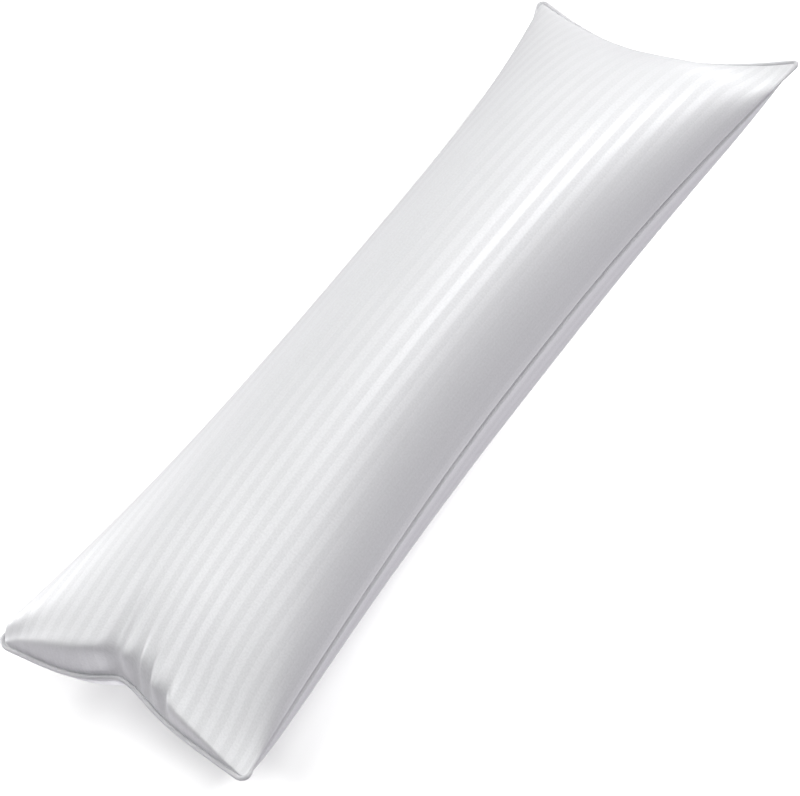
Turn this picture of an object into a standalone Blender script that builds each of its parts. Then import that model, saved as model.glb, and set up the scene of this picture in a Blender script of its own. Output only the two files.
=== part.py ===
"""Body pillow: a filled satin-stripe cover with a piped seam, lying on its back.

Metres, +Z up. +Y runs along the pillow to the far end, and the near end, with its pinch fold, is at -Y.
The origin is in the middle of the footprint, on the surface that the pillow lies on.
"""

import math
from collections import namedtuple

import bmesh
import bpy
import numpy as np
from mathutils import Vector

# Plan of the seam, which runs round the edge between the front and the back panel.
TIP_LENGTH = 1.352  # corner to corner along a side: 54 in of cloth, drawn in by the filling
TIP_WIDTH = 0.480  # corner to corner across an end: 20 in of cloth
WAIST_WIDTH = 0.343  # from seam to seam at half length

# Sections across the pillow.
CROWN = 0.153  # the front panel, above the seam
BELLY = 0.156  # the back panel, below the seam, before it settles
SEAM_HEIGHT = 0.121  # the seam above the surface, which flattens the belly
SETTLE = 0.010  # how softly the belly turns into its flat patch
WAIST_ROUND = (2.25, 1.61)  # the two powers of the section's curve at half length
END_ROUND = (3.0, 2.4)  # and near the ends
ROUND_SHIFT = 4.2  # how late the one becomes the other

# Along the pillow.
SEAM_RISE = 0.020  # the seam climbs this much from half length to the ends
RISE_POWER = 2.9
DRAW_POWER = 6.0  # how soon an end's draw-in dies out inside

# The two ends. flare: how late the seam spreads to its corners. length_power and end_power: the curve
# by which the panels close. shoulder: how much fuller the end is close behind its seam. draw_in: how far
# the filling pulls the seam inward, and draw_power its bow.
End = namedtuple("End", "flare length_power end_power shoulder draw_in draw_power")
NEAR = End(flare=1.8, length_power=2.0, end_power=2.23, shoulder=0.09, draw_in=0.0, draw_power=2.0)
FAR = End(flare=2.7, length_power=2.9, end_power=1.49, shoulder=0.0, draw_in=0.055, draw_power=1.6)
SHOULDER_PLACE = 0.018  # how far behind the seam the shoulder is fullest

# The fold pinched into the near end. centre, and left and right (how far it spreads to each side), are
# shares of the half width. pull: how far the seam is drawn in there. sink and back_sink: the share of
# the height that the crease takes from the front and the back panel at the seam. crease: its half width,
# as a share too. reach: how far in it runs.
Fold = namedtuple("Fold", "centre left right pull sink back_sink crease reach")
FOLDS = (
    Fold(-0.09, left=0.21, right=0.38, pull=0.039, sink=0.5, back_sink=0.3, crease=0.13, reach=0.10),
)
BACK_FOLD_POWER = 9.0  # the back panel bulges out again sooner behind the fold than the front does
FOLD_LIP = 0.012  # the crease starts behind the seam, so that the cloth keeps its lip over the piping

# The four corner ears: how much each is turned up from the seam's own line, and its rounding.
Ear = namedtuple("Ear", "side end lift radius")
EARS = (
    Ear(side=-1, end=1, lift=0.003, radius=0.013),
    Ear(side=1, end=1, lift=0.018, radius=0.007),
    Ear(side=-1, end=-1, lift=-0.004, radius=0.026),
    Ear(side=1, end=-1, lift=0.008, radius=0.012),
)
EAR_BEND = (3, 8)  # how fast the turn-up dies out across and along

# The seam's groove and the piping that lies in it.
PIPING_RADIUS = 0.0025
PIPING_SEAT = 0.0006  # how far the piping lies off the seam line, which clears the groove's walls too
GROOVE_DEPTH = 0.005
GROOVE_WIDTH = 0.0042
GROOVE_FADE = 0.075  # the groove runs out this far from a corner, where the ear is thin

# Rows of the panels' grid: close together at the seam, then even.
SEAM_ROWS = (0.0, 0.002, 0.0045, 0.0085, 0.0145)
EVEN_COLUMNS = 14  # from the last seam row to the middle line
EVEN_ROWS = 19
PROFILE_STEPS = 400

COVER_COLOUR = (0.86, 0.86, 0.88, 1.0)
PIPING_COLOUR = (0.84, 0.84, 0.86, 1.0)


def clear_scene():
    """Empty the scene of the objects it starts with."""
    for old in list(bpy.data.objects):
        bpy.data.objects.remove(old, do_unlink=True)


def make_collection(name):
    """A collection of the scene that holds the pillow's pieces."""
    collection = bpy.data.collections.new(name)
    bpy.context.scene.collection.children.link(collection)
    return collection


def cloth_material(name, colour, roughness):
    """A plain woven-cloth finish."""
    material = bpy.data.materials.new(name)
    material.use_nodes = True
    shader = material.node_tree.nodes["Principled BSDF"]
    shader.inputs["Base Color"].default_value = colour
    shader.inputs["Roughness"].default_value = roughness
    shader.inputs["Metallic"].default_value = 0.0
    return material


def end_of(v):
    """The end that the cloth row at v belongs to."""
    return FAR if v > 0 else NEAR


def seam_half_width(v):
    """Half the width from seam to seam at v."""
    waist = WAIST_WIDTH / 2
    return waist + (TIP_WIDTH / 2 - waist) * abs(v) ** end_of(v).flare


def fullness(v):
    """How much of its full height the filling keeps at v: 1 at half length, 0 at the end seams."""
    end = end_of(v)
    closing = max(1 - abs(v) ** end.length_power, 0.0) ** (1 / end.end_power)
    places = (1 - abs(v)) * TIP_LENGTH / 2 / SHOULDER_PLACE
    return closing + end.shoulder * places * math.exp(1 - places)


def bell(offset, half_width):
    """1 in the middle, falling off smoothly to half at half_width."""
    return 1 / (1 + (offset / half_width) ** 2)


def settled(depth, room):
    """The depth of the belly once it lies on the surface, which leaves it this much room."""
    over = depth - room
    if over <= -SETTLE:
        return depth
    if over >= SETTLE:
        return room
    return room - (SETTLE - over) ** 2 / (4 * SETTLE)


def section(v, height):
    """Points of the open section at v, from the left seam to the right one: shares of the half width
    and heights."""
    shift = abs(v) ** ROUND_SHIFT
    width_power, height_power = (
        waist + (end - waist) * shift for waist, end in zip(WAIST_ROUND, END_ROUND)
    )
    shares = -np.cos(np.linspace(0.0, math.pi, PROFILE_STEPS + 1))
    heights = np.maximum(1 - np.abs(shares) ** width_power, 0.0) ** (1 / height_power)
    return shares, height * fullness(v) * heights


def along_curve(across, up):
    """The distance along a curve of each of its points."""
    return np.concatenate([[0.0], np.cumsum(np.hypot(np.diff(across), np.diff(up)))])


def stations(half, even):
    """Distances from the seam at which one half of a panel has its rows, as far as the middle."""
    first = SEAM_ROWS[-1]
    step = (half - first) / even
    return list(SEAM_ROWS) + [first + step * k for k in range(1, even + 1)]


def rows_of_half(end_sign):
    """Values of v, from half length to one end, whose rows lie at the stations."""
    shares = np.sin(np.linspace(0.0, math.pi / 2, PROFILE_STEPS + 1))
    heights = np.array([CROWN * fullness(end_sign * share) for share in shares])
    distance = along_curve(shares * TIP_LENGTH / 2, heights)
    wanted = [distance[-1] - station for station in stations(distance[-1], EVEN_ROWS)]
    return [end_sign * float(value) for value in np.interp(wanted, distance, shares)]


def cloth_rows():
    """Values of v of all rows, from the near end to the far one."""
    near = rows_of_half(-1)
    far = rows_of_half(1)
    return near[:-1] + far[::-1]


def draw_in(share, v):
    """How far the end's seam is drawn inward by the filling, at a share of the half width."""
    end = end_of(v)
    return end.draw_in * (1 - abs(share) ** end.draw_power)


def fold_pull(share, v):
    """How far the end's seam is drawn inward by the folds pinched into it."""
    pull = 0.0
    if v < 0:
        for fold in FOLDS:
            spread = fold.left if share < fold.centre else fold.right
            pull += fold.pull * bell(share - fold.centre, spread) * (1 - share**4)
    return pull


def crease(share, v, facing):
    """The share of its height that a place keeps in spite of the folds."""
    kept = 1.0
    if v < 0:
        for fold in FOLDS:
            sink = fold.sink if facing > 0 else fold.back_sink
            from_end = (1 + v) * TIP_LENGTH / 2
            fade = math.exp(-((from_end / fold.reach) ** 2)) - math.exp(-((from_end / FOLD_LIP) ** 2))
            kept -= sink * bell(share - fold.centre, fold.crease) * fade
    return kept


def ear_lift(share, v):
    """How far the ears turn the cloth up at this place."""
    lift = 0.0
    for ear in EARS:
        if ear.end * v > 0:
            across = (1 + ear.side * share) / 2
            lift += ear.lift * across ** EAR_BEND[0] * abs(v) ** EAR_BEND[1]
    return lift


def rounded_corner(x, y, half_width, end_y):
    """Plan position of a point, with the sharp corner of the seam turned into an arc."""
    radius = next(ear.radius for ear in EARS if ear.side * x >= 0 and ear.end * y >= 0)
    p = 1 - (half_width - abs(x)) / radius
    q = 1 - (end_y - abs(y)) / radius
    if p <= 0 or q <= 0:
        return x, y
    inward_x = radius * p * (1 - math.sqrt(1 - q * q / 2))
    inward_y = radius * q * (1 - math.sqrt(1 - p * p / 2))
    return x - math.copysign(inward_x, x), y - math.copysign(inward_y, y)


def groove(from_seam, from_corner):
    """How deep the cloth is drawn into the seam, near it and away from the corners."""
    fade = 1 - math.exp(-((from_corner / GROOVE_FADE) ** 2))
    return GROOVE_DEPTH * math.exp(-((from_seam / GROOVE_WIDTH) ** 2)) * fade


class Panel:
    """The front (facing 1) or the back (facing -1) panel, as a function from its grid to its shape."""

    def __init__(self, facing):
        self.facing = facing
        self.rows = cloth_rows()
        self.sections = [self.section_row(v) for v in self.rows]

    def section_row(self, v):
        """Shares of the half width, heights and distances from the seam of the points of one row."""
        half_width = seam_half_width(v)
        shares, heights = section(v, CROWN if self.facing > 0 else BELLY)
        distance = along_curve(shares * half_width, heights)
        middle = distance[-1] / 2
        left = stations(middle, EVEN_COLUMNS)
        wanted = left[:-1] + [distance[-1] - station for station in left[::-1]]
        from_seam = [min(place, distance[-1] - place) for place in wanted]
        return np.interp(wanted, distance, shares), np.interp(wanted, distance, heights), from_seam

    def point(self, column, row):
        """The place of one grid point."""
        v = self.rows[row]
        shares, heights, from_seam = self.sections[row]
        share = float(shares[column])
        height = float(heights[column]) * crease(share, v, self.facing)
        half_width = seam_half_width(v)
        end_sign = 1 if v > 0 else -1
        drawn = draw_in(share, v)
        folded = fold_pull(share, v)
        end_y = TIP_LENGTH / 2 - drawn - folded
        fold_power = DRAW_POWER if self.facing > 0 else BACK_FOLD_POWER
        inward = drawn * abs(v) ** DRAW_POWER + folded * abs(v) ** fold_power
        x = share * half_width
        y = v * TIP_LENGTH / 2 - end_sign * inward
        end_distance = self.end_distance(row)
        side_groove = groove(from_seam[column], end_distance)
        end_groove = groove(end_distance, from_seam[column])
        x, y = rounded_corner(x, y, half_width, end_y)
        x -= math.copysign(side_groove, share)
        y -= end_sign * end_groove
        seam = SEAM_HEIGHT + SEAM_RISE * abs(v) ** RISE_POWER + ear_lift(share, v)
        if self.facing > 0:
            return Vector((x, y, seam + height))
        return Vector((x, y, seam - settled(height, seam)))

    def end_distance(self, row):
        """The distance along the cloth from this row to the nearer end's seam."""
        steps = min(row, len(self.rows) - 1 - row)
        if steps < len(SEAM_ROWS):
            return SEAM_ROWS[steps]
        return TIP_LENGTH / 2 * (1 - abs(self.rows[row])) + SEAM_ROWS[-1]

    def mesh_into(self, bm):
        """Add the panel to bm, as a grid that is moved to its shape."""
        columns = len(self.sections[0][0]) - 1
        rows = len(self.rows) - 1
        made = bmesh.ops.create_grid(bm, x_segments=columns, y_segments=rows, size=1.0)
        for vert in made["verts"]:
            column = round((vert.co.x + 1) / 2 * columns)
            row = round((vert.co.y + 1) / 2 * rows)
            vert.co = self.point(column, row)
        if self.facing < 0:
            faces = {face for vert in made["verts"] for face in vert.link_faces}
            bmesh.ops.reverse_faces(bm, faces=list(faces))

    def seam_loop(self):
        """The places of the seam's points, anticlockwise from the near left corner."""
        last_column = len(self.sections[0][0]) - 1
        last_row = len(self.rows) - 1
        places = [(column, 0) for column in range(last_column)]
        places += [(last_column, row) for row in range(last_row)]
        places += [(column, last_row) for column in range(last_column, 0, -1)]
        places += [(0, row) for row in range(last_row, 0, -1)]
        return [self.point(column, row) for column, row in places]


def make_body(collection, front, back):
    """The filled cover: both panels, sewn together along the seam."""
    bm = bmesh.new()
    front.mesh_into(bm)
    back.mesh_into(bm)
    bmesh.ops.remove_doubles(bm, verts=bm.verts, dist=1e-6)
    mesh = bpy.data.meshes.new("pillow_body")
    bm.to_mesh(mesh)
    bm.free()
    mesh.shade_smooth()
    mesh.materials.append(cloth_material("cover_cloth", COVER_COLOUR, 0.55))
    body = bpy.data.objects.new("pillow_body", mesh)
    collection.objects.link(body)
    return body


def piping_route(seam):
    """Centre line of the piping: the seam, moved outward in plan by the piping's radius and its seat."""
    route = []
    for index, place in enumerate(seam):
        ahead = seam[(index + 1) % len(seam)]
        tangent = (ahead - place).normalized() + (place - seam[index - 1]).normalized()
        outward = Vector((tangent.y, -tangent.x, 0.0)).normalized()
        route.append(place + outward * (PIPING_RADIUS + PIPING_SEAT))
    return route


def make_piping(collection, seam):
    """The welt: one closed tube round the pillow, in the seam's groove."""
    curve = bpy.data.curves.new("piping", "CURVE")
    curve.dimensions = "3D"
    curve.bevel_depth = PIPING_RADIUS
    curve.bevel_resolution = 2
    route = piping_route(seam)
    spline = curve.splines.new("POLY")
    spline.points.add(len(route) - 1)
    for point, place in zip(spline.points, route):
        point.co = (*place, 1.0)
    spline.use_cyclic_u = True
    curve.materials.append(cloth_material("piping_cloth", PIPING_COLOUR, 0.6))
    piping = bpy.data.objects.new("piping", curve)
    collection.objects.link(piping)
    return piping


def main():
    """Build the pillow."""
    clear_scene()
    collection = make_collection("body_pillow")
    front = Panel(1)
    back = Panel(-1)
    make_body(collection, front, back)
    make_piping(collection, front.seam_loop())


main()
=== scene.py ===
"""Body pillow: the looks of a filled satin-stripe pillow with a piped seam, lying on its back.

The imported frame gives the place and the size. This script makes the cover and the piping as fine meshes,
dresses them, and lights them on a pale floor. Metres, +Z up, +Y towards the far end of the pillow.
"""
import logging
import math
from dataclasses import dataclass, field
from enum import Enum

import bmesh
import bpy
import numpy as np
from mathutils import Matrix, Vector


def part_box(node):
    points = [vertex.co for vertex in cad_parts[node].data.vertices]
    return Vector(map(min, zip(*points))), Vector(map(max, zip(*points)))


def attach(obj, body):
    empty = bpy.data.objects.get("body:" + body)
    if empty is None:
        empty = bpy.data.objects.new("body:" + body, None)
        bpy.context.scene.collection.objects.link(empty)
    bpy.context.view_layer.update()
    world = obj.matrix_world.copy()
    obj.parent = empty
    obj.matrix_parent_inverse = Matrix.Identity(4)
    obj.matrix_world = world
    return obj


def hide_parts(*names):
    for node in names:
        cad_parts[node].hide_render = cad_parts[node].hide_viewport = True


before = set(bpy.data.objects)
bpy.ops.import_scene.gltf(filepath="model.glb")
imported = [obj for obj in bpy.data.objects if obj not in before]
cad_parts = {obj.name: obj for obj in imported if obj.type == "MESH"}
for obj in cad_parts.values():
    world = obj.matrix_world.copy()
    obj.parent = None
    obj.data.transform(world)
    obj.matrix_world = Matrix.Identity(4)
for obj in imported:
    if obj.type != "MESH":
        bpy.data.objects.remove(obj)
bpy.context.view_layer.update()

ROOT = "root"
BODY_NODE = "pillow_body"
PIPING_NODE = "piping"
CLOTH_MAP = "cloth"
CLOTH_WIDTH = 0.508      # of the flat cloth, from seam to seam
BAND_PITCH = 0.022       # from one glossy band of the weave to the next
BAND_PLACE = 0.0015      # from the middle of the cloth to the nearest glossy band
TINY = 1e-9              # stands in for a height of nothing, whose power would be endless

Colour = tuple[float, float, float, float]
WHITE: Colour = (1.0, 1.0, 1.0, 1.0)

log = logging.getLogger("body_pillow")


class Facing(Enum):
    """Which of the two panels of the cover."""

    FRONT = 1
    BACK = -1


@dataclass(frozen=True)
class EndShape:
    """How the seam and the panels run towards one end.

    flare: how late the seam spreads to its corners. length_power and end_power: the curve by which the
    panels close. draw_in and draw_power: how far the filling pulls the seam inward, and its bow.
    fuller and fuller_reach: the extra fullness behind the end wall, and how far in it lasts.
    """

    flare: float
    length_power: float
    end_power: float
    draw_in: float = 0.0
    draw_power: float = 2.0
    fuller: float = 0.0
    fuller_reach: float = 0.04


@dataclass(frozen=True)
class EndTaper:
    """The flatter section that the front panel takes towards an end and its ears.

    powers: its section across, left and right. middle_reach and ear_reach: how far in it gives way to the
    fuller section, at the middle and at the ears, left and right.
    """

    powers: tuple[float, float]
    middle_reach: tuple[float, float]
    ear_reach: tuple[float, float]

    def share(self, shares: np.ndarray, from_end: float) -> np.ndarray:
        """How much of this section there is across the pillow.

        Args:
            shares: places across, as shares of the half width.
            from_end: distance from the end's tips.

        Returns:
            For each place, 1 for this section alone and 0 for none of it.
        """
        ear = np.where(shares < 0, *self.ear_reach)
        middle = np.where(shares < 0, *self.middle_reach)
        reach = ear + (middle - ear) * (1 - shares**2)
        return np.exp(-((from_end / reach) ** 2))

    def section(self, shares: np.ndarray) -> np.ndarray:
        """Heights of the flatter section across, as shares of its own height."""
        return np.maximum(1 - np.abs(shares) ** np.where(shares < 0, *self.powers), 0.0)


@dataclass(frozen=True)
class EndWall:
    """The near end of the front panel, which stands up behind the seam as a wall with a crisp ridge.

    slope: height per length of the wall. crispness: how sharply it turns over the ridge.
    scallop: how far the ridge dips between glossy bands, as a share. scallop_reach: how far in that lasts.
    """

    slope: float = 5.0
    crispness: float = 5.0
    scallop: float = 0.015
    scallop_reach: float = 0.030


@dataclass(frozen=True)
class Fold:
    """The fold pinched into the near end.

    centre, left and right (how far it spreads to each side) and crease (its half width) are shares of the
    half width. pull: how far the seam is drawn in there. edge_power: how near to the corners that goes on.
    sink and back_sink: the share of the height that the crease takes from the front and from the back
    panel. reach: how far in it runs.
    """

    centre: float = -0.09
    left: float = 0.21
    right: float = 0.38
    pull: float = 0.039
    edge_power: int = 4
    sink: float = 0.24
    back_sink: float = 0.3
    crease: float = 0.085
    reach: float = 0.10


@dataclass(frozen=True)
class Tuck:
    """A tuck between two pleats of the near end, where the wall leans back and runs on into the front.

    centre and width are shares of the half width. lean: how much flatter the wall stands there. sink and
    reach: how deep the tuck runs on into the front, as a share of the height, and how far.
    """

    centre: float
    width: float
    lean: float
    sink: float
    reach: float

    def depth(self, shares: np.ndarray) -> np.ndarray:
        """How deep the places across lie in the tuck, 1 in its middle."""
        return np.exp(-(((shares - self.centre) / self.width) ** 2))


@dataclass(frozen=True)
class Ear:
    """A corner ear.

    side: -1 left, 1 right. end: -1 near, 1 far. lift: how far it is turned up. radius: how widely it is
    rounded in plan.
    """

    side: int
    end: int
    lift: float
    radius: float


@dataclass(frozen=True)
class Groove:
    """How the cloth is drawn into the seam, away from the ears.

    depth: how deep at the seam itself. width: how far from the seam it lasts. fade: how far from a corner
    it is still shallow.
    """

    depth: float
    width: float
    fade: float = 0.075

    def pull(self, from_seam: float, from_corner: float) -> float:
        """How deep the cloth lies at this distance from the seam and from the corner."""
        fade = 1 - math.exp(-((from_corner / self.fade) ** 2))
        return self.depth * math.exp(-((from_seam / self.width) ** 2)) * fade


def bell(offset: float, half_width: float) -> float:
    """1 in the middle, falling off smoothly to half at half_width."""
    return 1 / (1 + (offset / half_width) ** 2)


def along_curve(across: np.ndarray, up: np.ndarray) -> np.ndarray:
    """The distance along a curve of each of its points."""
    return np.concatenate([[0.0], np.cumsum(np.hypot(np.diff(across), np.diff(up)))])


@dataclass
class PillowForm:
    """The stuffed shape, as a function from a place on the cloth to a place in space.

    A place on the cloth is a share of the half width (-1 left seam, 1 right seam) and v (-1 near end,
    1 far end).

    tip_length, tip_width and waist_width: the plan of the seam. belly and seam_height: the depth of the
    back panel, and of the seam above the floor. settle: how softly the belly turns into its flat patch.
    waist_round, end_round and round_shift: the two powers of the section at half length and at the ends,
    and how late the one becomes the other. seam_rise and rise_power: how far the seam climbs to the ends.
    draw_power: how soon the draw-in and the fold die out behind an end. back_fold_power: the same for the
    fold in the back panel. fold_lip: how far behind the seam the crease starts. ear_bend: how fast an
    ear's lift dies out across and along. map_reach: how near to an end the cloth's own width is still
    worked out anew. front_end_pull and back_end_pull: how much of the end groove each panel has. They
    differ at the seam itself too, so that along both ends the rims stand apart, 3.2 mm at the most.
    crown: the height of the front panel above the seam.
    """

    tip_length: float = 1.352
    tip_width: float = 0.480
    waist_width: float = 0.343
    belly: float = 0.156
    seam_height: float = 0.121
    settle: float = 0.010
    waist_round: tuple[float, float] = (2.25, 1.61)
    end_round: tuple[float, float] = (3.0, 2.4)
    round_shift: float = 4.2
    seam_rise: float = 0.020
    rise_power: float = 2.9
    draw_power: float = 6.0
    back_fold_power: float = 9.0
    fold_lip: float = 0.012
    ear_bend: tuple[int, int] = (3, 8)
    map_reach: float = 0.090
    near: EndShape = EndShape(
        flare=1.8, length_power=2.0, end_power=2.23, fuller=0.29, fuller_reach=0.038
    )
    far: EndShape = EndShape(
        flare=2.7, length_power=2.9, end_power=1.49, draw_in=0.055, draw_power=1.6
    )
    near_taper: EndTaper = EndTaper(
        powers=(2.0, 1.30), middle_reach=(0.060, 0.110), ear_reach=(0.012, 0.085)
    )
    far_taper: EndTaper = EndTaper(
        powers=(3.0, 1.6), middle_reach=(0.001, 0.030), ear_reach=(0.001, 0.100)
    )
    wall: EndWall = EndWall()
    fold: Fold = Fold()
    tucks: tuple[Tuck, ...] = (
        Tuck(centre=-0.10, width=0.065, lean=1.6, sink=0.04, reach=0.050),
        Tuck(centre=0.070, width=0.050, lean=2.4, sink=0.10, reach=0.080),
        Tuck(centre=0.190, width=0.050, lean=2.3, sink=0.08, reach=0.050),
        Tuck(centre=0.340, width=0.045, lean=1.9, sink=0.05, reach=0.045),
    )
    ears: tuple[Ear, ...] = (
        Ear(side=-1, end=1, lift=0.003, radius=0.013),
        Ear(side=1, end=1, lift=0.018, radius=0.007),
        Ear(side=-1, end=-1, lift=-0.004, radius=0.026),
        Ear(side=1, end=-1, lift=0.008, radius=0.012),
    )
    side_groove: Groove = Groove(depth=0.0045, width=0.0024)
    end_groove: Groove = Groove(depth=0.0040, width=0.0036)
    front_end_pull: float = 0.4
    back_end_pull: float = 1.2
    crown: float = field(init=False)

    def __post_init__(self) -> None:
        """Take the crown from the top of the CAD body."""
        self.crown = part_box(BODY_NODE)[1].z - self.seam_height

    def end_at(self, v: float) -> EndShape:
        """The end that v belongs to."""
        return self.far if v > 0 else self.near

    def half_width(self, v: float) -> float:
        """Half the width from seam to seam at v."""
        waist = self.waist_width / 2
        return waist + (self.tip_width / 2 - waist) * abs(v) ** self.end_at(v).flare

    def from_end(self, v: float) -> float:
        """The distance from the end's tips, along the pillow."""
        return (1 - abs(v)) * self.tip_length / 2

    def plain_fullness(self, v: float) -> float:
        """How much of its full height the filling keeps at v, without what stands behind the end wall."""
        end = self.end_at(v)
        return max(1 - abs(v) ** end.length_power, 0.0) ** (1 / end.end_power)

    def fullness(self, v: float) -> float:
        """As plain_fullness, with what stands behind the end wall."""
        end = self.end_at(v)
        return self.plain_fullness(v) + end.fuller * math.exp(-self.from_end(v) / end.fuller_reach)

    def section(self, v: float, shares: np.ndarray) -> np.ndarray:
        """The rounded section across the pillow.

        Args:
            v: place along the pillow, -1 to 1.
            shares: places across, as shares of the half width.

        Returns:
            The height of each place, as a share of the section's own height.
        """
        shift = abs(v) ** self.round_shift
        wide, high = (
            waist + (end - waist) * shift
            for waist, end in zip(self.waist_round, self.end_round)
        )
        return np.maximum(1 - np.abs(shares) ** wide, 0.0) ** (1 / high)

    def creased(self, shares: np.ndarray, v: float, facing: Facing) -> np.ndarray:
        """What the near end's fold and tucks leave of the height.

        Args:
            shares: places across, as shares of the half width.
            v: place along the pillow, -1 to 1.
            facing: the front or the back panel.

        Returns:
            The share of its height that each place keeps.
        """
        kept = np.ones_like(shares)
        if v >= 0:
            return kept
        from_end = self.from_end(v)
        fold = self.fold
        sink = fold.sink if facing is Facing.FRONT else fold.back_sink
        lip = math.exp(-((from_end / self.fold_lip) ** 2))
        fade = math.exp(-((from_end / fold.reach) ** 2)) - lip
        kept -= sink * fade / (1 + ((shares - fold.centre) / fold.crease) ** 2)
        if facing is Facing.FRONT:
            for tuck in self.tucks:
                fade = math.exp(-((from_end / tuck.reach) ** 2))
                kept -= tuck.sink * fade * tuck.depth(shares)
        return kept

    def scalloped(self, shares: np.ndarray, v: float) -> np.ndarray:
        """What the gathers between the glossy bands leave of the near end's height.

        Args:
            shares: places across, as shares of the half width.
            v: place along the pillow, -1 to 1.

        Returns:
            The share of its height that each place keeps.
        """
        fade = math.exp(-((self.from_end(v) / self.wall.scallop_reach) ** 2))
        turns = (shares * CLOTH_WIDTH / 2 - BAND_PLACE) * math.tau / BAND_PITCH
        return 1 - self.wall.scallop * fade * (1 - np.cos(turns)) / 2

    def wall_slope(self, shares: np.ndarray) -> np.ndarray:
        """How steeply the end wall stands at each place across, flatter in the tucks."""
        lean = sum((tuck.lean * tuck.depth(shares) for tuck in self.tucks), start=np.ones_like(shares))
        return self.wall.slope / lean

    def plain_heights(self, v: float, shares: np.ndarray) -> np.ndarray:
        """Heights without wall, fold and tucks, by which the cloth of both panels is measured across.

        Args:
            v: place along the pillow, -1 to 1.
            shares: places across, as shares of the half width.

        Returns:
            The height of each place, in metres.
        """
        limit = 1 - self.map_reach / (self.tip_length / 2)
        inside = math.copysign(min(abs(v), limit), v)
        deep = (self.crown + self.belly) / 2
        return deep * self.plain_fullness(inside) * self.section(inside, shares)

    def heights(self, v: float, shares: np.ndarray, facing: Facing) -> np.ndarray:
        """Heights of a panel above the seam along the section at v.

        Args:
            v: place along the pillow, -1 to 1.
            shares: places across, as shares of the half width.
            facing: the front or the back panel.

        Returns:
            The height of each place, in metres, never negative.
        """
        full = self.section(v, shares)
        if facing is Facing.BACK:
            return self.belly * self.plain_fullness(v) * full * self.creased(shares, v, facing)
        from_end = self.from_end(v)
        taper = self.far_taper if v > 0 else self.near_taper
        full += (taper.section(shares) - full) * taper.share(shares, from_end)
        inner = self.crown * self.fullness(v) * full
        if v >= 0:
            return inner
        inner *= self.creased(shares, v, facing) * self.scalloped(shares, v)
        rising = np.maximum(from_end * self.wall_slope(shares), TINY)
        inner = np.maximum(inner, TINY)
        power = self.wall.crispness
        return (rising**-power + inner**-power) ** (-1 / power)

    def settled(self, depth: float, room: float) -> float:
        """How deep the belly hangs once it lies on the floor.

        Args:
            depth: its depth below the seam, without a floor.
            room: the height of the seam above the floor.

        Returns:
            Its depth below the seam, which stops at the floor.
        """
        over = depth - room
        if over <= -self.settle:
            return depth
        if over >= self.settle:
            return room
        return room - (self.settle - over) ** 2 / (4 * self.settle)

    def draw_in(self, share: float, v: float) -> float:
        """How far the end's seam is drawn inward by the filling."""
        end = self.end_at(v)
        return end.draw_in * (1 - abs(share) ** end.draw_power)

    def fold_pull(self, share: float, v: float) -> float:
        """How far the end's seam is drawn inward by the fold.

        Args:
            share: place across, as a share of the half width.
            v: place along the pillow, -1 to 1.

        Returns:
            The distance, which is nothing at the far end.
        """
        if v >= 0:
            return 0.0
        fold = self.fold
        spread = fold.left if share < fold.centre else fold.right
        return fold.pull * bell(share - fold.centre, spread) * (1 - share**fold.edge_power)

    def ear_lift(self, share: float, v: float) -> float:
        """How far the ears turn the cloth up.

        Args:
            share: place across, as a share of the half width.
            v: place along the pillow, -1 to 1.

        Returns:
            The height added to the seam and to both panels.
        """
        lift = 0.0
        for ear in self.ears:
            if ear.end * v > 0:
                across = (1 + ear.side * share) / 2
                lift += ear.lift * across ** self.ear_bend[0] * abs(v) ** self.ear_bend[1]
        return lift

    def rounded_corner(self, x: float, y: float, half: float, end_y: float) -> tuple[float, float]:
        """Turn the sharp corner of the seam's plan into an arc.

        Args:
            x: place across.
            y: place along.
            half: half the width from seam to seam there.
            end_y: distance from the middle to the end's seam there.

        Returns:
            The place across and along, moved inward where it lies in the corner.
        """
        radius = next(ear.radius for ear in self.ears if ear.side * x >= 0 and ear.end * y >= 0)
        p = 1 - (half - abs(x)) / radius
        q = 1 - (end_y - abs(y)) / radius
        if p <= 0 or q <= 0:
            return x, y
        # The corner's square is mapped to a disc.
        inward_x = radius * p * (1 - math.sqrt(max(1 - q * q / 2, 0.0)))
        inward_y = radius * q * (1 - math.sqrt(max(1 - p * p / 2, 0.0)))
        return x - math.copysign(inward_x, x), y - math.copysign(inward_y, y)

    def place(
        self,
        facing: Facing,
        share: float,
        v: float,
        height: float,
        from_side: float,
        from_end: float,
    ) -> Vector:
        """The place in space of a place on the cloth.

        Args:
            facing: the front or the back panel.
            share: place across, as a share of the half width.
            v: place along, -1 to 1.
            height: height above the seam, or depth below it.
            from_side: distance along the cloth to the nearer long seam.
            from_end: distance along the cloth to the nearer end seam.

        Returns:
            The point, in metres.
        """
        is_front = facing is Facing.FRONT
        half = self.half_width(v)
        end_sign = 1 if v > 0 else -1
        drawn = self.draw_in(share, v)
        folded = self.fold_pull(share, v)
        fold_power = self.draw_power if is_front else self.back_fold_power
        inward = drawn * abs(v) ** self.draw_power + folded * abs(v) ** fold_power
        y = v * self.tip_length / 2 - end_sign * inward
        x, y = self.rounded_corner(share * half, y, half, self.tip_length / 2 - drawn - folded)
        x -= math.copysign(self.side_groove.pull(from_side, from_end), share)
        end_pull = self.front_end_pull if is_front else self.back_end_pull
        y -= end_sign * self.end_groove.pull(from_end, from_side) * end_pull
        seam = self.seam_height + self.seam_rise * abs(v) ** self.rise_power + self.ear_lift(share, v)
        return Vector((x, y, seam + height if is_front else seam - self.settled(height, seam)))


@dataclass(frozen=True)
class ClothRow:
    """The points of one row of a panel, from the left seam to the right.

    shares: places across, as shares of the half width. heights: above the seam, or below it. from_side:
    distances along the cloth to the nearer long seam. across: places on the flat cloth, from its middle.
    """

    shares: np.ndarray
    heights: np.ndarray
    from_side: list[float]
    across: list[float]


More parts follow.
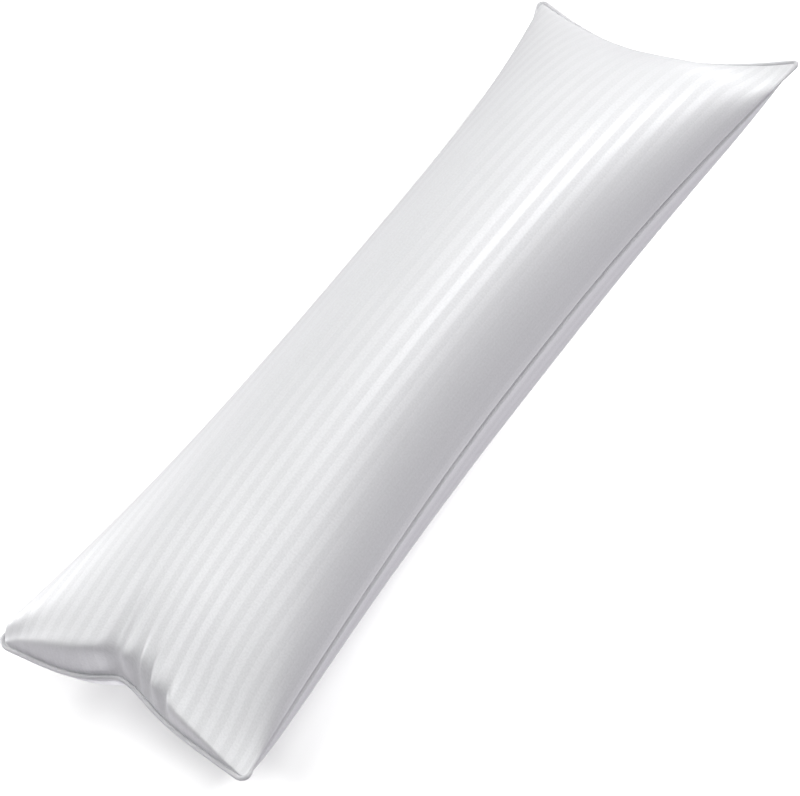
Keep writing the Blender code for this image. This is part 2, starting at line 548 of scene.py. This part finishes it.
@dataclass
class Panel:
    """One panel of the cover, as a grid of rows across and columns along.

    seam_rows: distances from the seam of the close rows and columns beside it. even_columns and
    even_rows: how many follow evenly as far as the middle. steps: the fineness of the curves that are
    measured. places and along: where each row lies, as v and as a distance along the cloth. rows: the
    points of each row.
    """

    form: PillowForm
    facing: Facing
    seam_rows: tuple[float, ...] = (
        0.0, 0.0008, 0.0016, 0.0026, 0.0038, 0.0054, 0.0078, 0.0110, 0.0150,
    )
    even_columns: int = 40
    even_rows: int = 96
    steps: int = 500
    places: list[float] = field(init=False)
    along: list[float] = field(init=False)
    rows: list[ClothRow] = field(init=False)

    def __post_init__(self) -> None:
        """Work out where the rows and columns lie."""
        near, near_along = self._half(-1)
        far, far_along = self._half(1)
        self.places = near[:-1] + far[::-1]
        self.along = near_along[:-1] + far_along[::-1]
        self.rows = [self._row(v) for v in self.places]

    def _stations(self, half: float, even: int) -> list[float]:
        """Distances from the seam, close together at first and then even.

        Args:
            half: distance from the seam to the middle.
            even: how many even steps there are after the close ones.

        Returns:
            The distances, from the seam to the middle.
        """
        first = self.seam_rows[-1]
        step = (half - first) / even
        return list(self.seam_rows) + [first + step * k for k in range(1, even + 1)]

    def _half(self, end: int) -> tuple[list[float], list[float]]:
        """Where the rows of one half lie, measured along the front so that both panels have the same.

        Args:
            end: -1 for the near half, 1 for the far one.

        Returns:
            Values of v from the end to the middle, and distances along the front from the middle.
        """
        # Closer together towards the end, where the cloth turns fastest.
        shares = np.sin(np.linspace(0.0, math.pi / 2, self.steps + 1))
        middle = np.zeros(1)
        heights = np.array(
            [self.form.heights(end * float(s), middle, Facing.FRONT)[0] for s in shares]
        )
        heights[-1] = 0.0
        distance = along_curve(shares * self.form.tip_length / 2, heights)
        wanted = [distance[-1] - station for station in self._stations(distance[-1], self.even_rows)]
        values = [end * float(value) for value in np.interp(wanted, distance, shares)]
        values[0] = float(end)
        return values, [end * place for place in wanted]

    def _row(self, v: float) -> ClothRow:
        """Lay out the points of one row.

        Args:
            v: place of the row along the pillow, -1 to 1.

        Returns:
            The row.
        """
        shares = -np.cos(np.linspace(0.0, math.pi, self.steps + 1))
        heights = self.form.heights(v, shares, self.facing)
        plain = self.form.plain_heights(v, shares)
        distance = along_curve(shares * self.form.half_width(v), plain)
        middle = distance[-1] / 2
        left = self._stations(middle, self.even_columns)
        wanted = left[:-1] + [distance[-1] - station for station in left[::-1]]
        return ClothRow(
            shares=np.interp(wanted, distance, shares),
            heights=np.interp(wanted, distance, heights),
            from_side=[min(place, distance[-1] - place) for place in wanted],
            across=[(place - middle) / middle * CLOTH_WIDTH / 2 for place in wanted],
        )

    def from_end(self, row: int) -> float:
        """The distance along the cloth from a row to the nearer end's seam.

        Args:
            row: the row's number, from the near end.

        Returns:
            The distance, the same for both panels.
        """
        steps = min(row, len(self.places) - 1 - row)
        if steps < len(self.seam_rows):
            return self.seam_rows[steps]
        reference = self.along[0] if row < len(self.places) / 2 else self.along[-1]
        return abs(reference - self.along[row])

    def point(self, column: int, row: int) -> Vector:
        """The place in space of one grid point.

        Args:
            column: its number across, from the left seam.
            row: its number along, from the near end.

        Returns:
            The point, in metres.
        """
        cloth = self.rows[row]
        return self.form.place(
            self.facing,
            float(cloth.shares[column]),
            self.places[row],
            float(cloth.heights[column]),
            cloth.from_side[column],
            self.from_end(row),
        )

    def mesh_into(self, bm: bmesh.types.BMesh, uv: bmesh.types.BMLayerItem) -> None:
        """Add the panel to a mesh, as a grid that is moved to its shape and mapped by its cloth.

        Args:
            bm: the mesh to add to.
            uv: the map that takes the places on the cloth, in metres.
        """
        columns = len(self.rows[0].shares) - 1
        rows = len(self.rows) - 1
        made = bmesh.ops.create_grid(bm, x_segments=columns, y_segments=rows, size=1.0)
        cloth = {}
        for vert in made["verts"]:
            column = round((vert.co.x + 1) / 2 * columns)
            row = round((vert.co.y + 1) / 2 * rows)
            cloth[vert] = (self.rows[row].across[column], self.along[row])
            vert.co = self.point(column, row)
        faces = {face for vert in made["verts"] for face in vert.link_faces}
        for face in faces:
            for loop in face.loops:
                loop[uv].uv = cloth[loop.vert]
        if self.facing is Facing.BACK:
            bmesh.ops.reverse_faces(bm, faces=list(faces))

    def seam_loop(self) -> list[tuple[Vector, float]]:
        """Walk once round the seam.

        Returns:
            The seam's points, anticlockwise from the near left corner, and their distance to a corner.
        """
        last_column = len(self.rows[0].shares) - 1
        last_row = len(self.rows) - 1
        places = [(column, 0) for column in range(last_column)]
        places += [(last_column, row) for row in range(last_row)]
        places += [(column, last_row) for column in range(last_column, 0, -1)]
        places += [(0, row) for row in range(last_row, 0, -1)]
        found = []
        for column, row in places:
            on_side = column in (0, last_column)
            inward = self.from_end(row) if on_side else 0.0
            found.append((self.point(column, row), inward))
        return found


@dataclass(frozen=True)
class Mottle:
    """An irregular unevenness of a cloth's shade.

    scale: how many patches come to a metre. detail and roughness: how many finer patches there are in
    them, and how strong. spread: from what to what the noise is used. shades: what the colour is
    multiplied by at both ends of that.
    """

    scale: float
    detail: float
    roughness: float
    spread: tuple[float, float]
    shades: tuple[float, float]


class NodeKit:
    """Short calls for the nodes of one material or of the world.

    MIX_SHARE, MIX_FIRST, MIX_SECOND and MIX_RESULT: the sockets of a Mix node when it mixes colours. They
    are numbers, because the node has sockets of the same names for single values too.
    """

    MIX_SHARE = 0
    MIX_FIRST = 6
    MIX_SECOND = 7
    MIX_RESULT = 2

    def __init__(self, tree: bpy.types.NodeTree, shader: str) -> None:
        """Start from the shader that the tree already has."""
        self.tree = tree
        self.shader = tree.nodes[shader]

    def feed(self, socket: bpy.types.NodeSocket, value: object) -> None:
        """Give a socket a number or a colour, or link it to another one.

        Args:
            socket: the input to feed.
            value: what it takes.
        """
        if isinstance(value, bpy.types.NodeSocket):
            self.tree.links.new(value, socket)
        else:
            socket.default_value = value

    def add(self, kind: str, **values: object) -> bpy.types.Node:
        """A new node with its properties and inputs set.

        Args:
            kind: the node's type, without its ShaderNode prefix.
            values: properties by name, and inputs by their name with spaces as underscores.

        Returns:
            The node.
        """
        node = self.tree.nodes.new("ShaderNode" + kind)
        for name, value in values.items():
            if hasattr(node, name):
                setattr(node, name, value)
            else:
                self.feed(node.inputs[name.replace("_", " ")], value)
        return node

    def math(self, operation: str, first: object, second: object = 0.0) -> bpy.types.NodeSocket:
        """The result of one sum.

        Args:
            operation: the sum's name.
            first: a number or a socket.
            second: another.

        Returns:
            The socket that holds the result.
        """
        node = self.add("Math", operation=operation)
        for socket, value in zip(node.inputs, (first, second)):
            self.feed(socket, value)
        return node.outputs["Value"]

    def ramp(
        self, value: bpy.types.NodeSocket, low: float, high: float, to_low: float, to_high: float
    ) -> bpy.types.NodeSocket:
        """A value carried smoothly from one range to another.

        Args:
            value: the value.
            low: where its range starts.
            high: where its range ends.
            to_low: what low becomes.
            to_high: what high becomes.

        Returns:
            The socket that holds the result.
        """
        node = self.add(
            "MapRange",
            interpolation_type="SMOOTHSTEP",
            Value=value,
            From_Min=low,
            From_Max=high,
            To_Min=to_low,
            To_Max=to_high,
        )
        return node.outputs["Result"]

    def mottled(self, place: bpy.types.NodeSocket, mottle: Mottle) -> bpy.types.NodeSocket:
        """The shades of an unevenness.

        Args:
            place: the place on the cloth.
            mottle: the unevenness.

        Returns:
            The socket that holds the shade.
        """
        noise = self.add(
            "TexNoise",
            Vector=place,
            Scale=mottle.scale,
            Detail=mottle.detail,
            Roughness=mottle.roughness,
        )
        return self.ramp(noise.outputs["Fac"], *mottle.spread, *mottle.shades)

    def mix(
        self, share: object, first: object, second: object, blend: str = "MIX"
    ) -> bpy.types.NodeSocket:
        """Two colours, mixed.

        Args:
            share: how much the second counts.
            first: a colour or a socket.
            second: another.
            blend: how they are mixed.

        Returns:
            The socket that holds the colour.
        """
        node = self.add("Mix", data_type="RGBA", blend_type=blend)
        self.feed(node.inputs[self.MIX_SHARE], share)
        self.feed(node.inputs[self.MIX_FIRST], first)
        self.feed(node.inputs[self.MIX_SECOND], second)
        return node.outputs[self.MIX_RESULT]

    def shade(self, **values: object) -> None:
        """Feed the shader's own inputs, given by their name with spaces as underscores."""
        for name, value in values.items():
            self.feed(self.shader.inputs[name.replace("_", " ")], value)


def new_material(name: str) -> tuple[bpy.types.Material, NodeKit]:
    """An empty material with its nodes ready.

    Args:
        name: what the finish is called.

    Returns:
        The material, and the calls for its nodes.
    """
    material = bpy.data.materials.new(name)
    material.use_nodes = True
    return material, NodeKit(material.node_tree, "Principled BSDF")


def new_object(name: str, data: bpy.types.ID) -> bpy.types.Object:
    """An object of the scene.

    Args:
        name: what it is called.
        data: the mesh, curve, light or camera that it holds.

    Returns:
        The object.
    """
    made = bpy.data.objects.new(name, data)
    bpy.context.scene.collection.objects.link(made)
    return made


@dataclass(frozen=True)
class StripedSateen:
    """White sateen whose lengthwise bands are woven alternately glossy and matt.

    pitch, first_band and edge: the bands, and how softly one turns into the next. bright and dull: the
    colours of the glossy and of the matt bands, each with its roughness and its lustre. clouds and slubs:
    the cloth's wide and its fine unevenness. thread, thread_length and thread_bump: the width, length per
    width and relief of the threads. thread_detail and thread_roughness: their own unevenness.
    """

    name: str = "satin_stripe_cloth"
    pitch: float = BAND_PITCH
    first_band: float = BAND_PLACE
    edge: float = 0.22
    bright: Colour = (0.860, 0.865, 0.879, 1.0)
    dull: Colour = (0.813, 0.818, 0.831, 1.0)
    bright_roughness: float = 0.50
    dull_roughness: float = 0.58
    bright_lustre: float = 0.155
    dull_lustre: float = 0.112
    sheen: float = 0.15
    sheen_roughness: float = 0.4
    specular: float = 1.0
    clouds: Mottle = Mottle(
        scale=9.0, detail=3.0, roughness=0.55, spread=(0.3, 0.7), shades=(0.985, 1.0)
    )
    slubs: Mottle = Mottle(
        scale=1 / 0.0030, detail=1.0, roughness=0.5, spread=(0.25, 0.75), shades=(0.957, 1.036)
    )
    thread: float = 0.0009
    thread_length: float = 3.0
    thread_bump: float = 0.00010
    thread_detail: float = 2.0
    thread_roughness: float = 0.6

    def build(self) -> bpy.types.Material:
        """Make the cover's material.

        Returns:
            The material, which reads the cloth's own map.
        """
        material, kit = new_material(self.name)
        uv = kit.add("UVMap", uv_map=CLOTH_MAP).outputs["UV"]
        split = kit.add("SeparateXYZ", Vector=uv)
        across, along = split.outputs["X"], split.outputs["Y"]
        turns = kit.math("MULTIPLY", kit.math("SUBTRACT", across, self.first_band), math.tau / self.pitch)
        band = kit.ramp(kit.math("COSINE", turns), -self.edge, self.edge, 0.0, 1.0)
        shade = kit.math("MULTIPLY", kit.mottled(uv, self.clouds), kit.mottled(uv, self.slubs))
        threads = kit.add(
            "CombineXYZ",
            X=kit.math("DIVIDE", across, self.thread),
            Y=kit.math("DIVIDE", along, self.thread * self.thread_length),
        )
        grain = kit.add(
            "TexNoise",
            Vector=threads.outputs["Vector"],
            Scale=1.0,
            Detail=self.thread_detail,
            Roughness=self.thread_roughness,
        )
        bump = kit.add(
            "Bump", Height=grain.outputs["Fac"], Distance=self.thread_bump, Strength=1.0
        )
        kit.shade(
            Base_Color=kit.mix(1.0, kit.mix(band, self.dull, self.bright), shade, blend="MULTIPLY"),
            Roughness=kit.ramp(band, 0.0, 1.0, self.dull_roughness, self.bright_roughness),
            Metallic=kit.ramp(band, 0.0, 1.0, self.dull_lustre, self.bright_lustre),
            Normal=bump.outputs["Normal"],
            Sheen_Weight=self.sheen,
            Sheen_Roughness=self.sheen_roughness,
            Specular_IOR_Level=self.specular,
        )
        return material


@dataclass(frozen=True)
class PipingCloth:
    """The cover's own cloth, cut on the bias round the piping, matt.

    colour: on the ridges of its twill. painted_hollow_shade: between them, the same cloth coloured darker
    as painted shade in the twill's hollows. twill: from one ridge to the next.
    """

    name: str = "piping_cloth"
    colour: Colour = (0.80, 0.80, 0.82, 1.0)
    # Painted shade: the twill's hollows are coloured darker than its ridges.
    painted_hollow_shade: Colour = (0.74, 0.74, 0.76, 1.0)
    roughness: float = 0.62
    sheen: float = 0.15
    twill: float = 0.0016
    twill_bump: float = 0.00012
    twill_strength: float = 0.8

    def build(self) -> bpy.types.Material:
        """Make the piping's material.

        Returns:
            The material, which reads the piping's own map.
        """
        material, kit = new_material(self.name)
        uv = kit.add("UVMap", uv_map=CLOTH_MAP).outputs["UV"]
        split = kit.add("SeparateXYZ", Vector=uv)
        lean = kit.math("ADD", split.outputs["X"], split.outputs["Y"])
        wave = kit.math("SINE", kit.math("MULTIPLY", lean, math.tau / self.twill))
        ridge = kit.ramp(wave, -1.0, 1.0, 0.0, 1.0)
        bump = kit.add(
            "Bump", Height=ridge, Distance=self.twill_bump, Strength=self.twill_strength
        )
        # Painted shade: the base colour darkens between the twill's ridges, where its hollows lie.
        kit.shade(
            Base_Color=kit.mix(ridge, self.painted_hollow_shade, self.colour),
            Roughness=self.roughness,
            Normal=bump.outputs["Normal"],
            Sheen_Weight=self.sheen,
        )
        return material


@dataclass
class Cover:
    """The filled cover: a front and a back panel.

    They are joined along the sides and at the corners. Along both ends their rims stand a little apart
    beside the piping, as PillowForm says, and the mesh is open there.

    fill: how firmly it is stuffed; nothing reads it. sewn: how near to each other two points are made one.
    seam: the front's points along the seam, with their distance to a corner, once the cover is built.
    """

    form: PillowForm
    name: str = "filled_cover"
    fill: float = 0.85
    sewn: float = 1e-6
    finish: StripedSateen = StripedSateen()
    seam: list[tuple[Vector, float]] = field(init=False)

    def build(self) -> bpy.types.Object:
        """Make the cover, dress it and put it in the frame.

        Returns:
            The cover.
        """
        front = Panel(self.form, Facing.FRONT)
        back = Panel(self.form, Facing.BACK)
        bm = bmesh.new()
        uv = bm.loops.layers.uv.new(CLOTH_MAP)
        front.mesh_into(bm, uv)
        back.mesh_into(bm, uv)
        bmesh.ops.remove_doubles(bm, verts=bm.verts, dist=self.sewn)
        mesh = bpy.data.meshes.new(self.name)
        bm.to_mesh(mesh)
        bm.free()
        mesh.shade_smooth()
        mesh.materials.append(self.finish.build())
        cover = new_object(self.name, mesh)
        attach(cover, ROOT)
        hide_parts(BODY_NODE)
        self.seam = front.seam_loop()
        return cover


@dataclass
class Piping:
    """The welt in the seam: full size at the ends and the ears, sunk between the panels at the sides.

    radius and sunk_radius: its size where it shows and where it is sunk. seat: how far it lies off the
    seam. show: how far from a corner it still shows. rounds: the fineness of its round section.
    """

    seam: list[tuple[Vector, float]]
    name: str = "seam_piping"
    radius: float = 0.0033
    sunk_radius: float = 0.0015
    seat: float = 0.0004
    show: float = 0.055
    rounds: int = 3
    finish: PipingCloth = PipingCloth()

    def _radius_at(self, from_corner: float) -> float:
        """Its radius, full in the open and smaller where the panels close over it."""
        shown = math.exp(-((from_corner / self.show) ** 2))
        return self.sunk_radius + (self.radius - self.sunk_radius) * shown

    def _route(self) -> bpy.types.Curve:
        """Lead the piping round the seam, just outside it.

        Returns:
            A closed curve with its thickness.
        """
        curve = bpy.data.curves.new(self.name, "CURVE")
        curve.dimensions = "3D"
        curve.bevel_depth = 1.0
        curve.bevel_resolution = self.rounds
        spline = curve.splines.new("POLY")
        spline.points.add(len(self.seam) - 1)
        for index, (place, from_corner) in enumerate(self.seam):
            ahead = self.seam[(index + 1) % len(self.seam)][0]
            behind = self.seam[index - 1][0]
            tangent = (ahead - place).normalized() + (place - behind).normalized()
            outward = Vector((tangent.y, -tangent.x, 0.0)).normalized()
            radius = self._radius_at(from_corner)
            spline.points[index].co = (*(place + outward * (radius + self.seat)), 1.0)
            spline.points[index].radius = radius
        spline.use_cyclic_u = True
        return curve

    def build(self) -> bpy.types.Object:
        """Make the piping, dress it and put it in the frame.

        Returns:
            The piping.
        """
        holder = new_object(self.name + "_route", self._route())
        evaluated = holder.evaluated_get(bpy.context.evaluated_depsgraph_get())
        mesh = bpy.data.meshes.new_from_object(evaluated)
        bpy.data.objects.remove(holder)
        mesh.name = self.name
        for layer in mesh.uv_layers:
            layer.name = CLOTH_MAP
        mesh.shade_smooth()
        mesh.materials.clear()
        mesh.materials.append(self.finish.build())
        piping = new_object(self.name, mesh)
        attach(piping, ROOT)
        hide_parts(PIPING_NODE)
        return piping


class Lit(Enum):
    """What a studio light falls on."""

    PILLOW = "pillow"
    FLOOR = "floor"


@dataclass(frozen=True)
class SoftLight:
    """A round softbox.

    bearing: clockwise from the far end, in degrees. height: above the floor, in degrees, or below it.
    distance: from the middle of the pillow's footprint. width and power: its size and watts. lit: what it
    falls on. A hung one points straight down, and the others point at the middle of the footprint.
    """

    name: str
    bearing: float
    height: float
    distance: float
    width: float
    power: float
    lit: Lit
    hung: bool = False


@dataclass
class Studio:
    """The floor, the soft light and the camera.

    floor_glow: light of its own, which keeps the floor's shadows soft. above and below: the even light
    from the sky, and the light that a white floor would throw back up, each with its colour. horizon: how
    softly the one turns into the other. camera_place, camera_forward and camera_up: the photograph's view.
    """

    floor_size: float = 40.0
    floor_colour: Colour = (0.45, 0.45, 0.45, 1.0)
    floor_roughness: float = 0.9
    floor_glow: float = 0.10
    above: float = 0.14
    above_colour: tuple[float, float, float] = (1.0, 1.0, 1.0)
    below: float = 0.61
    below_colour: tuple[float, float, float] = (1.018, 0.962, 1.075)
    horizon: float = 0.05
    lights: tuple[SoftLight, ...] = (
        # name, bearing, height, distance, width, power, lit, hung
        SoftLight("far_left_box", 334.0, 38.0, 3.2, 1.6, 7.6, Lit.PILLOW),
        SoftLight("near_left_high_box", 240.0, 65.0, 3.2, 1.6, 25.6, Lit.PILLOW),
        SoftLight("far_right_box", 30.0, 50.0, 3.2, 1.6, 40.5, Lit.PILLOW),
        SoftLight("left_low_box", 257.0, 5.0, 3.2, 1.6, 45.4, Lit.PILLOW),
        SoftLight("near_box", 180.0, 50.0, 3.2, 1.6, 14.0, Lit.PILLOW),
        SoftLight("near_under_box", 180.0, -48.0, 3.2, 1.6, 42.2, Lit.PILLOW),
        SoftLight("right_under_box", 60.0, -48.0, 3.2, 1.6, 16.6, Lit.PILLOW),
        SoftLight("far_low_box", 0.0, 5.0, 3.2, 1.6, 31.3, Lit.PILLOW),
        SoftLight("right_top_high_box", 72.0, 80.0, 3.2, 1.6, 14.8, Lit.PILLOW),
        SoftLight("floor_near_end_box", 194.0, 52.3, 2.022, 0.7, 17.4, Lit.FLOOR, hung=True),
        SoftLight("floor_near_right_box", 153.4, 67.3, 1.735, 0.7, 13.0, Lit.FLOOR, hung=True),
        SoftLight("floor_far_right_box", 46.8, 36.1, 2.715, 0.7, 258.6, Lit.FLOOR, hung=True),
        SoftLight("floor_near_left_box", 236.3, 55.9, 1.931, 0.7, 14.8, Lit.FLOOR, hung=True),
        SoftLight("floor_left_high_box", 257.0, 38.0, 8.0, 2.2, 278.0, Lit.FLOOR),
        SoftLight("floor_right_box", 52.1, 54.5, 1.965, 0.7, 41.6, Lit.FLOOR, hung=True),
        SoftLight("floor_far_left_box", 309.0, 26.0, 8.0, 2.2, 124.0, Lit.FLOOR),
        SoftLight("floor_left_low_box", 257.0, 26.0, 8.0, 2.2, 528.0, Lit.FLOOR),
    )
    camera_place: tuple[float, float, float] = (1.8525, -1.2983, 2.4473)
    camera_forward: tuple[float, float, float] = (-0.5704, 0.3820, -0.7271)
    camera_up: tuple[float, float, float] = (-0.3125, 0.7177, 0.6222)
    lens: float = 101.1
    sensor: float = 36.0

    def build(self, pieces: list[bpy.types.Object]) -> None:
        """Set the studio up round the finished pieces.

        Args:
            pieces: the pieces that the pillow's own lights fall on.
        """
        receivers = {lit: bpy.data.collections.new(lit.value + "_light") for lit in Lit}
        for piece in pieces:
            receivers[Lit.PILLOW].objects.link(piece)
        receivers[Lit.FLOOR].objects.link(self._floor())
        self._sky()
        for light in self.lights:
            self._light(light, receivers[light.lit])
        self._camera()

    def _floor(self) -> bpy.types.Object:
        """Lay a plain pale floor, which neither lights nor shades the pillow.

        Returns:
            The floor.
        """
        bm = bmesh.new()
        bmesh.ops.create_grid(bm, x_segments=2, y_segments=2, size=self.floor_size / 2)
        mesh = bpy.data.meshes.new("floor")
        bm.to_mesh(mesh)
        bm.free()
        material, kit = new_material("floor_paint")
        kit.shade(
            Base_Color=self.floor_colour,
            Roughness=self.floor_roughness,
            Specular_IOR_Level=0.0,
            Emission_Color=WHITE,
            Emission_Strength=self.floor_glow,
        )
        material.cycles.emission_sampling = "NONE"
        mesh.materials.append(material)
        floor = new_object("floor", mesh)
        floor.visible_diffuse = False
        floor.visible_glossy = False
        floor.visible_shadow = False
        return floor

    def _sky(self) -> None:
        """Hang the even light above and below the horizon."""
        world = bpy.data.worlds.new("studio")
        world.use_nodes = True
        kit = NodeKit(world.node_tree, "Background")
        place = kit.add("TexCoord").outputs["Generated"]
        height = kit.add("SeparateXYZ", Vector=place).outputs["Z"]
        side = kit.add("MapRange", Value=height, From_Min=-self.horizon, From_Max=self.horizon)
        below = (*(self.below * part for part in self.below_colour), 1.0)
        above = (*(self.above * part for part in self.above_colour), 1.0)
        kit.shade(Color=kit.mix(side.outputs["Result"], below, above))
        bpy.context.scene.world = world
        world.cycles_visibility.glossy = False

    def _light(self, light: SoftLight, receivers: bpy.types.Collection) -> None:
        """Put up one softbox.

        Args:
            light: the softbox.
            receivers: the pieces that it falls on.
        """
        data = bpy.data.lights.new(light.name, "AREA")
        data.shape = "DISK"
        data.size = light.width
        data.energy = light.power
        lamp = new_object(light.name, data)
        bearing, height = math.radians(light.bearing), math.radians(light.height)
        level = math.cos(height)
        towards = Vector((math.sin(bearing) * level, math.cos(bearing) * level, math.sin(height)))
        lamp.location = towards * light.distance
        if not light.hung:
            lamp.rotation_euler = (-towards).to_track_quat("-Z", "Y").to_euler()
        lamp.light_linking.receiver_collection = receivers

    def _camera(self) -> None:
        """Put the camera at the photograph's angle to the pillow."""
        data = bpy.data.cameras.new("camera")
        data.lens = self.lens
        data.sensor_width = self.sensor
        camera = new_object("camera", data)
        forward = Vector(self.camera_forward).normalized()
        right = forward.cross(Vector(self.camera_up)).normalized()
        up = right.cross(forward)
        turned = Matrix((right, up, -forward)).transposed().to_4x4()
        turned.translation = Vector(self.camera_place)
        camera.matrix_world = turned
        bpy.context.scene.camera = camera
        bpy.context.scene.view_settings.view_transform = "Standard"


def main() -> None:
    """Make the pillow and its studio."""
    logging.basicConfig(level=logging.INFO, format="%(message)s")
    cover = Cover(PillowForm())
    made = cover.build()
    log.info("%s: %d faces", made.name, len(made.data.polygons))
    piping = Piping(cover.seam).build()
    log.info("%s: %d faces", piping.name, len(piping.data.polygons))
    Studio().build([made, piping])


if __name__ == "__main__":
    main()
